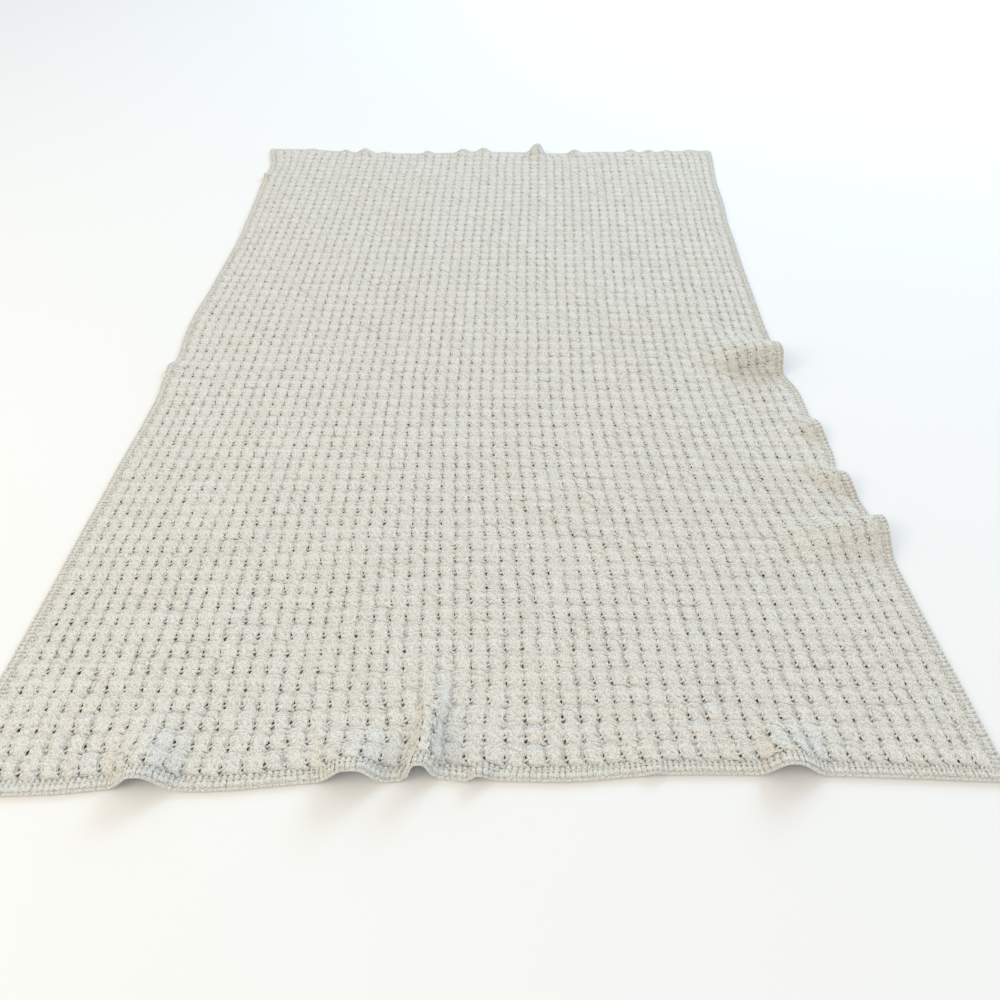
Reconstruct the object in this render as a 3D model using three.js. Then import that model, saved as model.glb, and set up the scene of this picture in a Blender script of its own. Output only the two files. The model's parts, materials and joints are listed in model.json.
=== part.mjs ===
// Crochet throw blanket, spread out flat on the floor with a few pulled-up folds along its edges.
// Millimetres, +X across the throw, +Y along it, +Z up, resting on z = 0.
//
// Two worked pieces: the shell-stitch panel and the round of posts and chain crocheted onto its edge.

import * as THREE from "three";

// Flat sizes of the throw before it is laid down
const THROW_WIDTH = 1240;
const THROW_LENGTH = 1885;
const EDGING_WIDTH = 16;
const CLOTH_THICKNESS = 6;
const PIECE_GAP = 0.6;
const CORNER_ROUNDING = 7;

// Where the middle of the laid throw's box sits from the middle of its stitches
const BOX_MIDDLE_X = -1.61;
const BOX_MIDDLE_Y = 4.12;

// Side edges of the laid throw: y of the section, then where its left and right edges lie
const SIDE_EDGES = [
  { at: -945, left: -632, right: 628 },
  { at: -800, left: -627, right: 621 },
  { at: -650, left: -622, right: 612 },
  { at: -520, left: -619, right: 604 },
  { at: -440, left: -616, right: 592 },
  { at: -390, left: -615, right: 584 },
  { at: -340, left: -613, right: 590 },
  { at: -280, left: -610, right: 578 },
  { at: -200, left: -609, right: 574 },
  { at: -150, left: -615, right: 561 },
  { at: -110, left: -612, right: 558 },
  { at: -75, left: -608, right: 558 },
  { at: 0, left: -616, right: 573 },
  { at: 80, left: -618, right: 574 },
  { at: 160, left: -613, right: 576 },
  { at: 280, left: -609, right: 580 },
  { at: 380, left: -606, right: 587 },
  { at: 480, left: -609, right: 592 },
  { at: 600, left: -614, right: 604 },
  { at: 720, left: -620, right: 611 },
  { at: 840, left: -620, right: 625 },
  { at: 890, left: -633, right: 632 },
  { at: 945, left: -647, right: 638 },
];

// End edges of the laid throw: x of the section, then where its near and far edges lie
const END_EDGES = [
  { at: -635, near: -946, far: 957 },
  { at: -500, near: -945, far: 948 },
  { at: -400, near: -937, far: 930 },
  { at: -300, near: -939, far: 923 },
  { at: -200, near: -931, far: 921 },
  { at: -110, near: -931, far: 927 },
  { at: -50, near: -924, far: 935 },
  { at: 0, near: -928, far: 931 },
  { at: 100, near: -929, far: 928 },
  { at: 200, near: -921, far: 920 },
  { at: 300, near: -920, far: 932 },
  { at: 430, near: -923, far: 931 },
  { at: 520, near: -926, far: 939 },
  { at: 635, near: -930, far: 942 },
];

// Folds: each crest rises from its inner end to its full height at the edge of the throw.
// The two reaches are the cloth taken up on the right and on the left of the crest, looking outwards.
const FOLDS = [
  // pulled up along the near end
  { fromX: -57, fromY: -772, toX: -63, toY: -925, height: 32, rightReach: 38, leftReach: 41 },
  { fromX: -160, fromY: -855, toX: -165, toY: -927, height: 31, rightReach: 53, leftReach: 50 },
  { fromX: 377, fromY: -836, toX: 366, toY: -921, height: 30, rightReach: 51, leftReach: 55 },
  { fromX: -411, fromY: -826, toX: -399, toY: -939, height: 29, rightReach: 54, leftReach: 49 },
  { fromX: 207, fromY: -884, toX: 206, toY: -922, height: 5, rightReach: 21, leftReach: 12 },
  { fromX: 26, fromY: -870, toX: 25, toY: -925, height: 13, rightReach: 21, leftReach: 24 },
  // the tall pleat and three lower folds on the right side
  { fromX: 395, fromY: -71, toX: 560, toY: -115, height: 48, rightReach: 49, leftReach: 113 },
  { fromX: 512, fromY: -289, toX: 578, toY: -307, height: 15, rightReach: 36, leftReach: 33 },
  { fromX: 524, fromY: -393, toX: 586, toY: -422, height: 20, rightReach: 41, leftReach: 34 },
  { fromX: 425, fromY: -560, toX: 598, toY: -542, height: 28, rightReach: 74, leftReach: 46 },
  // two small ones on the left side
  { fromX: -565, fromY: -119, toX: -618, toY: -117, height: 9, rightReach: 29, leftReach: 27 },
  { fromX: -555, fromY: 760, toX: -620, toY: 763, height: 8, rightReach: 24, leftReach: 21 },
  // scallops along the far end
  { fromX: -524, fromY: 880, toX: -522, toY: 940, height: 3, rightReach: 21, leftReach: 23 },
  { fromX: -427, fromY: 872, toX: -425, toY: 932, height: 7, rightReach: 22, leftReach: 22 },
  { fromX: -360, fromY: 868, toX: -362, toY: 928, height: 13, rightReach: 33, leftReach: 34 },
  { fromX: -301, fromY: 860, toX: -302, toY: 926, height: 4, rightReach: 23, leftReach: 22 },
  { fromX: -187, fromY: 868, toX: -185, toY: 922, height: 8, rightReach: 23, leftReach: 22 },
  { fromX: -88, fromY: 866, toX: -87, toY: 926, height: 10, rightReach: 28, leftReach: 26 },
  { fromX: -27, fromY: 864, toX: -27, toY: 930, height: 11, rightReach: 28, leftReach: 27 },
  { fromX: 129, fromY: 852, toX: 133, toY: 926, height: 26, rightReach: 41, leftReach: 47 },
  { fromX: 252, fromY: 870, toX: 251, toY: 924, height: 10, rightReach: 28, leftReach: 23 },
  { fromX: 401, fromY: 866, toX: 403, toY: 936, height: 8, rightReach: 21, leftReach: 21 },
  { fromX: 455, fromY: 872, toX: 456, toY: 938, height: 7, rightReach: 20, leftReach: 21 },
  { fromX: 508, fromY: 870, toX: 507, toY: 940, height: 4, rightReach: 24, leftReach: 21 },
  { fromX: 575, fromY: 884, toX: 576, toY: 938, height: 3, rightReach: 26, leftReach: 25 },
];

// How far beyond a fold the cloth is still drawn towards it, and the least floor its steepest part covers
const DRAW_DISTANCE = 260;
const STEEPEST_SHARE = 0.12;

// Facets: the largest is used on the flat, and a fold is this many facets across each reach
const LARGEST_FACET_HALVINGS = 3;
const COARSE_COLUMNS = 16;
const COARSE_ROWS = 25;
const FACETS_PER_REACH = 2.24;
const FACET_GROWTH = 0.9;

const CREAM = 0xe0dcd0;

const clamp = (value, low, high) => Math.min(high, Math.max(low, value));
const mix = (from, to, share) => from + (to - from) * share;

// Smooth step from 0 to 1
function ease(share) {
  const s = clamp(share, 0, 1);
  return s * s * (3 - 2 * s);
}

// Smooth curve through one column of an edge table
function edgeLine(table, column, at) {
  let i = 1;
  while (i < table.length - 1 && table[i].at < at) i += 1;
  const a = table[i - 1];
  const b = table[i];
  const before = table[Math.max(0, i - 2)];
  const after = table[Math.min(table.length - 1, i + 1)];
  const span = b.at - a.at;
  const share = clamp((at - a.at) / span, 0, 1);
  const slopeA = ((b[column] - before[column]) / (b.at - before.at)) * span;
  const slopeB = ((after[column] - a[column]) / (after.at - a.at)) * span;
  const s2 = share * share;
  const s3 = s2 * share;
  return (2 * s3 - 3 * s2 + 1) * a[column] + (s3 - 2 * s2 + share) * slopeA
    + (3 * s2 - 2 * s3) * b[column] + (s3 - s2) * slopeB;
}

// Where a point of the throw lies on the floor before the folds are pulled up
function laidPoint(across, along) {
  const x = mix(edgeLine(SIDE_EDGES, "left", along), edgeLine(SIDE_EDGES, "right", along),
    across / THROW_WIDTH + 0.5);
  const y = mix(edgeLine(END_EDGES, "near", across), edgeLine(END_EDGES, "far", across),
    along / THROW_LENGTH + 0.5);
  return [x, y];
}

// A fold's own measures at a point: how far outwards along the crest, and how far off it
function foldPlace(fold, x, y) {
  const runX = fold.toX - fold.fromX;
  const runY = fold.toY - fold.fromY;
  const length = Math.hypot(runX, runY);
  const outX = runX / length;
  const outY = runY / length;
  const outwards = (x - fold.fromX) * outX + (y - fold.fromY) * outY;
  const leftwards = (y - fold.fromY) * outX - (x - fold.fromX) * outY;
  return { outwards, leftwards, length, leftX: -outY, leftY: outX };
}

// Middle of the laid cloth's thickness at a point of the flat throw
function drape(across, along) {
  const [x, y] = laidPoint(across, along);
  let movedX = x;
  let movedY = y;
  let z = CLOTH_THICKNESS / 2;
  for (const fold of FOLDS) {
    const place = foldPlace(fold, x, y);
    const rise = fold.height * ease(place.outwards / place.length);
    if (rise <= 0) continue;
    const reach = place.leftwards > 0 ? fold.leftReach : fold.rightReach;
    const off = Math.abs(place.leftwards) / reach;
    const covered = Math.sqrt(Math.max(reach * reach - 2.25 * rise * rise, 0));
    const takeUp = (reach - Math.max(covered, STEEPEST_SHARE * reach)) / 1.5;
    z += rise * ease(1 - off);
    const beyond = Math.max(0, Math.abs(place.leftwards) - reach) / DRAW_DISTANCE;
    const drawn = -Math.sign(place.leftwards) * takeUp * ease(off) * ease(1 - beyond);
    movedX += drawn * place.leftX;
    movedY += drawn * place.leftY;
  }
  return [movedX - BOX_MIDDLE_X, movedY - BOX_MIDDLE_Y, z];
}

// Lower and upper points of the cloth, one thickness apart at right angles to it
function throughCloth(across, along) {
  const step = 2;
  const here = new THREE.Vector3(...drape(across, along));
  const right = new THREE.Vector3(...drape(across + step, along));
  const left = new THREE.Vector3(...drape(across - step, along));
  const far = new THREE.Vector3(...drape(across, along + step));
  const near = new THREE.Vector3(...drape(across, along - step));
  const normal = right.sub(left).cross(far.sub(near)).normalize();
  const half = normal.multiplyScalar(CLOTH_THICKNESS / 2);
  return [here.clone().sub(half), here.clone().add(half)];
}

// Facet size wanted at a laid point: fine on a fold and growing away from it
function facetWanted(x, y) {
  let wanted = Infinity;
  for (const fold of FOLDS) {
    const place = foldPlace(fold, x, y);
    const reach = place.leftwards > 0 ? fold.leftReach : fold.rightReach;
    const size = Math.min(fold.leftReach, fold.rightReach) / FACETS_PER_REACH;
    const aside = Math.max(0, Math.abs(place.leftwards) - reach);
    const inwards = Math.max(0, -place.outwards);
    const outwards = Math.max(0, place.outwards - place.length - 40);
    const away = Math.hypot(aside, inwards, outwards);
    wanted = Math.min(wanted, size + away * FACET_GROWTH);
  }
  return wanted;
}

// Halve the panel's coarse facets until each suits the folds it lies on
const FINE = 2 ** LARGEST_FACET_HALVINGS;
const PANEL_WIDTH = THROW_WIDTH - 2 * EDGING_WIDTH;
const PANEL_LENGTH = THROW_LENGTH - 2 * EDGING_WIDTH;
const fineAcross = PANEL_WIDTH / (COARSE_COLUMNS * FINE);
const fineAlong = PANEL_LENGTH / (COARSE_ROWS * FINE);
const lastColumn = COARSE_COLUMNS * FINE;
const lastRow = COARSE_ROWS * FINE;
const flatAcross = (column) => column * fineAcross - PANEL_WIDTH / 2;
const flatAlong = (row) => row * fineAlong - PANEL_LENGTH / 2;

function facetSquares() {
  const squares = [];
  const visit = (column, row, size) => {
    const half = size / 2;
    const [x, y] = laidPoint(flatAcross(column + half), flatAlong(row + half));
    const nearest = facetWanted(x, y);
    if (size > 1 && size * fineAcross * 0.8 > nearest) {
      visit(column, row, half);
      visit(column + half, row, half);
      visit(column, row + half, half);
      visit(column + half, row + half, half);
    } else {
      squares.push({ column, row, size });
    }
  };
  for (let row = 0; row < lastRow; row += FINE) {
    for (let column = 0; column < lastColumn; column += FINE) visit(column, row, FINE);
  }
  return squares;
}

// A closed body collected from points and outward-facing triangles
class Body {
  constructor() {
    this.points = [];
    this.faces = [];
  }

  point(vector) {
    this.points.push(vector.x, vector.y, vector.z);
    return this.points.length / 3 - 1;
  }

  triangle(a, b, c) {
    this.faces.push(a, b, c);
  }

  quad(a, b, c, d) {
    this.triangle(a, b, c);
    this.triangle(a, c, d);
  }

  mesh(name, roughness) {
    const geometry = new THREE.BufferGeometry();
    geometry.setAttribute("position", new THREE.Float32BufferAttribute(this.points, 3));
    geometry.setIndex(this.faces);
    geometry.computeVertexNormals();
    const yarn = new THREE.MeshStandardMaterial({ color: CREAM, roughness, metalness: 0 });
    const mesh = new THREE.Mesh(geometry, yarn);
    mesh.name = name;
    return mesh;
  }
}

const squares = facetSquares();
const corners = new Set();
for (const { column, row, size } of squares) {
  for (const [c, r] of [[0, 0], [size, 0], [size, size], [0, size]]) {
    corners.add(`${column + c},${row + r}`);
  }
}

// Corners met on a walk round a rectangle of the fine grid, anticlockwise from its near left corner
function cornersRound(column, row, width, height) {
  const walk = [];
  for (let i = 0; i < width; i += 1) walk.push([column + i, row]);
  for (let i = 0; i < height; i += 1) walk.push([column + width, row + i]);
  for (let i = width; i > 0; i -= 1) walk.push([column + i, row + height]);
  for (let i = height; i > 0; i -= 1) walk.push([column, row + i]);
  return walk.filter(([c, r]) => corners.has(`${c},${r}`));
}

// The panel: one closed sheet of shell stitch
function makePanel() {
  const body = new Body();
  const placed = new Map();
  const place = (column, row) => {
    const key = `${column},${row}`;
    if (!placed.has(key)) {
      const [under, over] = throughCloth(flatAcross(column), flatAlong(row));
      placed.set(key, { under: body.point(under), over: body.point(over) });
    }
    return placed.get(key);
  };
  for (const { column, row, size } of squares) {
    const ring = cornersRound(column, row, size, size).map(([c, r]) => place(c, r));
    if (ring.length === 4) {
      body.quad(ring[0].over, ring[1].over, ring[2].over, ring[3].over);
      body.quad(ring[3].under, ring[2].under, ring[1].under, ring[0].under);
      continue;
    }
    const middle = place(column + size / 2, row + size / 2);
    ring.forEach((point, i) => {
      const next = ring[(i + 1) % ring.length];
      body.triangle(middle.over, point.over, next.over);
      body.triangle(middle.under, next.under, point.under);
    });
  }
  const rim = cornersRound(0, 0, lastColumn, lastRow).map(([c, r]) => place(c, r));
  rim.forEach((point, i) => {
    const next = rim[(i + 1) % rim.length];
    body.quad(point.under, next.under, next.over, point.over);
  });
  return body.mesh("panel", 0.95);
}

// The edging: one band crocheted all the way round the panel
function makeEdging() {
  const body = new Body();
  const sections = cornersRound(0, 0, lastColumn, lastRow).map(([column, row]) => {
    const outX = (column === lastColumn) - (column === 0);
    const outY = (row === lastRow) - (row === 0);
    const width = outX && outY ? EDGING_WIDTH - CORNER_ROUNDING : EDGING_WIDTH;
    const across = flatAcross(column);
    const along = flatAlong(row);
    const [innerUnder, innerOver] = throughCloth(across + outX * PIECE_GAP, along + outY * PIECE_GAP);
    const [outerUnder, outerOver] = throughCloth(across + outX * width, along + outY * width);
    return [innerUnder, outerUnder, outerOver, innerOver].map((vector) => body.point(vector));
  });
  sections.forEach((section, i) => {
    const next = sections[(i + 1) % sections.length];
    for (let side = 0; side < 4; side += 1) {
      const after = (side + 1) % 4;
      body.quad(section[after], section[side], next[side], next[after]);
    }
  });
  return body.mesh("edging", 0.95);
}

const throwBlanket = new THREE.Group();
throwBlanket.name = "crochet_throw";
throwBlanket.add(makePanel(), makeEdging());

export default throwBlanket;
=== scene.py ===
# The crochet throw blanket, spread flat: camera and floor, the laid cloth with its folds,
# the ground of the panel, its rows of shell stitch, and the edging worked round it.
import json
import math
import bpy
import numpy as np
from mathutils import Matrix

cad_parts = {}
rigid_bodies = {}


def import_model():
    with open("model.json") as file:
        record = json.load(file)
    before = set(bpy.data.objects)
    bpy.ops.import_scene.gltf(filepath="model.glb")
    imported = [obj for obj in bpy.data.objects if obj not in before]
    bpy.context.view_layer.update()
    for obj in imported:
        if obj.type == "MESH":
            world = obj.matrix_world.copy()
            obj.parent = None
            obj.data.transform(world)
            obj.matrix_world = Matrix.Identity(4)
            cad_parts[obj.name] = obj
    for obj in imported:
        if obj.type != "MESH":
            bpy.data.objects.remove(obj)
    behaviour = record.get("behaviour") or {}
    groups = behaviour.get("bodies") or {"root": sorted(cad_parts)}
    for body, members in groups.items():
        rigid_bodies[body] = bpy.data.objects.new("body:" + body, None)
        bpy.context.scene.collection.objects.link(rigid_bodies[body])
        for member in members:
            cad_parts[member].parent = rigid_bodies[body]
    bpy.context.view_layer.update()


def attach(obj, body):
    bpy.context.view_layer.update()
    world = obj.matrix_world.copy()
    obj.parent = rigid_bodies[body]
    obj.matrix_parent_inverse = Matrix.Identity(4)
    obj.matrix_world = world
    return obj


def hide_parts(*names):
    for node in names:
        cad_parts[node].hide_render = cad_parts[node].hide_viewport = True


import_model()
scene = bpy.context.scene

# ---------------------------------------------------------------------------------------
# Camera: it is held a little under a metre above the floor at the near end and looks down
# along the throw, level from side to side.
eye_height = 0.869
eye_back = -1.3081
eye_across = 0.0261
eye_down = 46

eye = bpy.data.cameras.new("eye")
eye.sensor_width = 36.0
eye.lens = 27.04
eye.clip_start = 0.02
eye_spot = bpy.data.objects.new("eye", eye)
eye_spot.location = (eye_across, eye_back, eye_height)
eye_spot.rotation_euler = (math.radians(90 - eye_down), 0, 0)
scene.collection.objects.link(eye_spot)
scene.camera = eye_spot

# ---------------------------------------------------------------------------------------
# Light and floor: a plain pale floor, soft even light from all round, a broad cool window beyond
# the far right corner that shows up the folds and stitches, and a warm lamp at the near left.
scene.view_settings.view_transform = "Standard"

surround = bpy.data.worlds.new("surround")
surround.use_nodes = True
scene.world = surround
surround_nodes = surround.node_tree.nodes
surround_links = surround.node_tree.links
surround_nodes.clear()
soft_light = surround_nodes.new("ShaderNodeBackground")
soft_light.inputs["Color"].default_value = (1.0, 0.983, 0.95, 1)
soft_light.inputs["Strength"].default_value = 0.755
seen_white = surround_nodes.new("ShaderNodeBackground")
seen_white.inputs["Color"].default_value = (1, 1, 1, 1)
seen_white.inputs["Strength"].default_value = 1.0
ray = surround_nodes.new("ShaderNodeLightPath")
either = surround_nodes.new("ShaderNodeMixShader")
sky_out = surround_nodes.new("ShaderNodeOutputWorld")
surround_links.new(ray.outputs["Is Camera Ray"], either.inputs["Fac"])
surround_links.new(soft_light.outputs["Background"], either.inputs[1])
surround_links.new(seen_white.outputs["Background"], either.inputs[2])
surround_links.new(either.outputs["Shader"], sky_out.inputs["Surface"])


def window(name, place, aim, size, watts, colour):
    """A broad soft lamp at a place, turned towards a point."""
    lamp = bpy.data.lights.new(name, "AREA")
    lamp.shape = "RECTANGLE"
    lamp.size, lamp.size_y = size
    lamp.energy = watts
    lamp.color = colour
    spot = bpy.data.objects.new(name, lamp)
    spot.location = place
    to_x, to_y, to_z = [a - p for a, p in zip(aim, place)]
    tilt = math.atan2(math.hypot(to_x, to_y), -to_z)
    spot.rotation_euler = (tilt, 0, math.atan2(to_y, to_x) - math.pi / 2)
    scene.collection.objects.link(spot)


window("far_window", (3.1, 3.9, 2.85), (0.1, 0.3, 0.0), (3.2, 2.4), 158, (0.53, 0.78, 1.0))
window("room_lamp", (-2.6, -1.7, 2.2), (-0.1, -0.6, 0.0), (1.6, 1.6), 30, (1.0, 0.87, 0.60))

FLOOR_REACH = 9
FLOOR_TOP = -0.0006
floor_corners = [(-FLOOR_REACH, -FLOOR_REACH, FLOOR_TOP), (FLOOR_REACH, -FLOOR_REACH, FLOOR_TOP),
                 (FLOOR_REACH, FLOOR_REACH, FLOOR_TOP), (-FLOOR_REACH, FLOOR_REACH, FLOOR_TOP)]
floor_mesh = bpy.data.meshes.new("floor")
floor_mesh.from_pydata(floor_corners, [], [(0, 1, 2, 3)])
floor = bpy.data.objects.new("floor", floor_mesh)
scene.collection.objects.link(floor)
floor_paint = bpy.data.materials.new("pale_floor")
floor_paint.use_nodes = True
floor_shader = floor_paint.node_tree.nodes["Principled BSDF"]
floor_shader.inputs["Base Color"].default_value = (0.95, 0.95, 0.95, 1)
floor_shader.inputs["Roughness"].default_value = 1.0
floor_shader.inputs["Specular IOR Level"].default_value = 0.0
floor_mesh.materials.append(floor_paint)

# ---------------------------------------------------------------------------------------
# The laid cloth: how the throw lies on the floor, worked out once and followed by every piece.
# Its edges wander in and out, and folds are pulled up along them where it was not smoothed.
# Sizes are in millimetres and become metres where a mesh is made. BOX_MIDDLE is where the
# tables below have the middle of the laid throw, which lies at the origin.
MM = 0.001
THROW_WIDTH = 1240
THROW_LENGTH = 1885
EDGING_WIDTH = 16
CLOTH_THICKNESS = 6
BOX_MIDDLE = (-1.61, 4.12)

# y of each section, then where its left and right edges lie
SIDE_EDGES = [
    (-945, -632, 628), (-800, -627, 621), (-650, -622, 612), (-520, -619, 604),
    (-440, -616, 592), (-390, -615, 584), (-340, -613, 590), (-280, -610, 578),
    (-200, -609, 574), (-150, -615, 561), (-110, -612, 558), (-75, -608, 558),
    (0, -616, 573), (80, -618, 574), (160, -613, 576), (280, -609, 580),
    (380, -606, 587), (480, -609, 592), (600, -614, 604), (720, -620, 611),
    (840, -620, 625), (890, -633, 632), (945, -647, 638),
]

# x of each section, then where its near and far edges lie
END_EDGES = [
    (-635, -946, 957), (-500, -945, 948), (-400, -937, 930), (-300, -939, 923),
    (-200, -931, 921), (-110, -928, 927), (-50, -922, 935), (0, -928, 931),
    (100, -929, 928), (200, -921, 920), (300, -920, 932), (430, -923, 931),
    (520, -926, 939), (635, -930, 942),
]

# y of each section, then how the left and right edges would run there without their own wobble
SIDE_RUNS = [
    (-945, -631, 628), (-600, -620, 606), (-300, -612, 583), (0, -612, 569),
    (300, -610, 582), (600, -615, 603), (945, -640, 637),
]

# x of each section, then how the near and far edges would run there without their own wobble
END_RUNS = [(-635, -942, 950), (-300, -936, 928), (0, -929, 926), (300, -924, 930), (635, -928, 941)]

# how far in from an edge its own wobble fades out, and the share of the throw's width
# that is drawn along by the drift of one side
WOBBLE_REACH = 120
DRIFT_SHARE = 0.7

# y of each section, then how far the stitches have drifted there from straight rows and columns:
# rows along the throw, everywhere and further at the left and at the right, then columns across
STITCH_DRIFT = [
    (-942, 0, 0, 0, 0, 0, 14),
    (-700, -2, -4, -8, 0, -8, 14),
    (-400, -10, -3, -13, -10, 0, 18),
    (-200, -13, 8, -11, -7, 0, 13),
    (0, -9, 6, -19, 3, -8, 8),
    (200, -5, 1, -18, 0, -10, 16),
    (450, 8, 4, -8, 3, -14, 15),
    (700, 6, 2, -2, 6, -13, 12),
    (942, 0, 0, 0, 12, -12, 0),
]

# Folds: crest from its inner end to its full height at the edge (x, y, x, y), the height,
# the width of cloth in its flank on the right and on the left of the crest, looking outwards,
# how far past the fold the cloth around it is drawn in, the share of the take-up
# that is drawn in and not stretched, and how full and round its top is
FOLDS = [
    (-57, -772, -64, -925, 35, 26, 26, 140, 0.65, 1.35),
    (-158, -855, -153, -927, 31, 54, 48, 140, 0.65, 1.15),
    (377, -836, 365, -921, 30, 38, 54, 140, 0.20, 1.10),
    (-411, -826, -393, -939, 29, 53, 52, 140, 0.65, 1.10),
    (213, -884, 212, -922, 5, 23, 12, 140, 0.65, 1.0),
    (23, -870, 7, -925, 13, 19, 22, 140, 0.65, 1.0),
    (395, -71, 560, -115, 48, 49, 113, 260, 1.0, 1.0),
    (512, -289, 578, -307, 15, 36, 33, 260, 1.0, 1.0),
    (524, -393, 586, -422, 20, 41, 34, 260, 1.0, 1.0),
    (425, -560, 598, -542, 28, 74, 46, 260, 1.0, 1.0),
    (-565, -119, -618, -117, 9, 29, 27, 260, 1.0, 1.0),
    (-555, 760, -620, 763, 8, 24, 21, 260, 1.0, 1.0),
    (-524, 880, -522, 940, 3, 21, 23, 260, 1.0, 1.0),
    (-427, 872, -425, 932, 7, 22, 22, 260, 1.0, 1.0),
    (-360, 868, -362, 928, 13, 33, 34, 260, 1.0, 1.0),
    (-301, 860, -302, 926, 4, 23, 22, 260, 1.0, 1.0),
    (-187, 868, -185, 922, 8, 23, 22, 260, 1.0, 1.0),
    (-88, 866, -87, 926, 10, 28, 26, 260, 1.0, 1.0),
    (-27, 864, -27, 930, 11, 28, 27, 260, 1.0, 1.0),
    (129, 852, 133, 926, 26, 41, 47, 260, 1.0, 1.0),
    (252, 870, 251, 924, 10, 28, 23, 260, 1.0, 1.0),
    (401, 866, 403, 936, 8, 21, 21, 260, 1.0, 1.0),
    (455, 872, 456, 938, 7, 20, 21, 260, 1.0, 1.0),
    (508, 870, 507, 940, 4, 24, 21, 260, 1.0, 1.0),
    (575, 884, 576, 938, 3, 26, 25, 260, 1.0, 1.0),
]
FLANK_STEEPNESS = 1.5
LEAST_COVERED = 0.12

# Soft creases left by folding and handling: from and to (x, y, x, y), height and half width.
# Each rises over the first part of its length and dies away over the last.
CREASE_END = 0.4
CREASES = [
    (15, -445, 300, -615, 2.6, 26),
    (40, -395, 250, -520, 1.8, 24),
    (-40, 150, -44, -230, 1.6, 18),
    (532, -352, 558, -462, 4.0, 20),
    (350, -300, 470, -430, 2.2, 26),
    (-470, -640, -250, -760, 1.8, 30),
    (-540, 250, -400, 420, 1.6, 34),
    (180, 300, 420, 380, 1.5, 36),
]


def eased(share):
    """Smooth step from 0 to 1."""
    s = np.clip(share, 0, 1)
    return s * s * (3 - 2 * s)


def table_line(table, column, at):
    """Smooth curve through one column of a table whose first column is where it is read."""
    rows = np.array(table, float)
    knots, values = rows[:, 0], rows[:, column]
    i = np.clip(np.searchsorted(knots, at), 1, len(knots) - 1)
    before, after = np.maximum(i - 2, 0), np.minimum(i + 1, len(knots) - 1)
    span = knots[i] - knots[i - 1]
    s = np.clip((at - knots[i - 1]) / span, 0, 1)
    slope_a = (values[i] - values[before]) / (knots[i] - knots[before]) * span
    slope_b = (values[after] - values[i - 1]) / (knots[after] - knots[i - 1]) * span
    return ((2 * s**3 - 3 * s**2 + 1) * values[i - 1] + (s**3 - 2 * s**2 + s) * slope_a
            + (3 * s**2 - 2 * s**3) * values[i] + (s**3 - s**2) * slope_b)


def between_edges(share, reach, edges, runs, at):
    """Place across the cloth: even between the smooth runs, and on the true edges at the edges."""
    low_run, high_run = table_line(runs, 1, at), table_line(runs, 2, at)
    low_wobble = table_line(edges, 1, at) - low_run
    high_wobble = table_line(edges, 2, at) - high_run
    return (low_run + (high_run - low_run) * share + low_wobble * eased(1 - share / reach)
            + high_wobble * eased(1 - (1 - share) / reach))


def from_crest(x, y, from_x, from_y, to_x, to_y):
    """A crest's length and direction, then how far along it and left of it the points lie."""
    length = math.hypot(to_x - from_x, to_y - from_y)
    out_x, out_y = (to_x - from_x) / length, (to_y - from_y) / length
    outwards = (x - from_x) * out_x + (y - from_y) * out_y
    leftwards = (y - from_y) * out_x - (x - from_x) * out_y
    return length, out_x, out_y, outwards, leftwards


def laid(across, along):
    """Middle of the laid cloth's thickness at points of the flat throw, all in millimetres."""
    from_left = across / THROW_WIDTH + 0.5
    from_near = along / THROW_LENGTH + 0.5
    wobble_share = WOBBLE_REACH / THROW_WIDTH
    x = between_edges(from_left, wobble_share, SIDE_EDGES, SIDE_RUNS, along)
    y = between_edges(from_near, WOBBLE_REACH / THROW_LENGTH, END_EDGES, END_RUNS, across)
    at_left = np.cos(math.pi / 2 * np.clip(from_left / DRIFT_SHARE, 0, 1)) ** 2
    at_right = np.cos(math.pi / 2 * np.clip((1 - from_left) / DRIFT_SHARE, 0, 1)) ** 2
    inside = eased(from_left / wobble_share) * eased((1 - from_left) / wobble_share)
    for part, column in ((1, 1), (at_left, 2), (at_right, 3)):
        y = y + table_line(STITCH_DRIFT, column, along) * part
        x = x + table_line(STITCH_DRIFT, column + 3, along) * part * inside
    moved_x, moved_y = x.copy(), y.copy()
    z = np.full_like(x, CLOTH_THICKNESS / 2)
    for fold in FOLDS:
        height, right_reach, left_reach, drawn_reach, drawn_share, fullness = fold[4:]
        length, out_x, out_y, outwards, leftwards = from_crest(x, y, *fold[:4])
        rise = height * eased(outwards / length)
        reach = np.where(leftwards > 0, left_reach, right_reach)
        off = np.abs(leftwards) / reach
        # a steep flank covers less floor than the cloth in it is long
        covered = np.sqrt(np.maximum(reach**2 - (FLANK_STEEPNESS * rise) ** 2, 0))
        spare = reach - np.maximum(covered, LEAST_COVERED * reach)
        take_up = np.where(rise > 0, drawn_share * spare / FLANK_STEEPNESS, 0)
        z += rise * eased((1 - off) * fullness)
        beyond = np.maximum(0, np.abs(leftwards) - reach) / drawn_reach
        drawn = -np.sign(leftwards) * take_up * eased(off) * eased(1 - beyond)
        moved_x += drawn * -out_y
        moved_y += drawn * out_x
    for crease in CREASES:
        height, half_width = crease[4:]
        length, _, _, outwards, leftwards = from_crest(x, y, *crease[:4])
        share = outwards / length
        ends = eased(share / CREASE_END) * eased((1 - share) / CREASE_END)
        z += height * ends * eased(1 - np.abs(leftwards) / half_width)
    return moved_x - BOX_MIDDLE[0], moved_y - BOX_MIDDLE[1], z


# The unevenness of hand work dies out this near the rim, and the cloth lies loose by this much
EVEN_RIM = 60
PUFF_HEIGHT = 1.3


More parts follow.
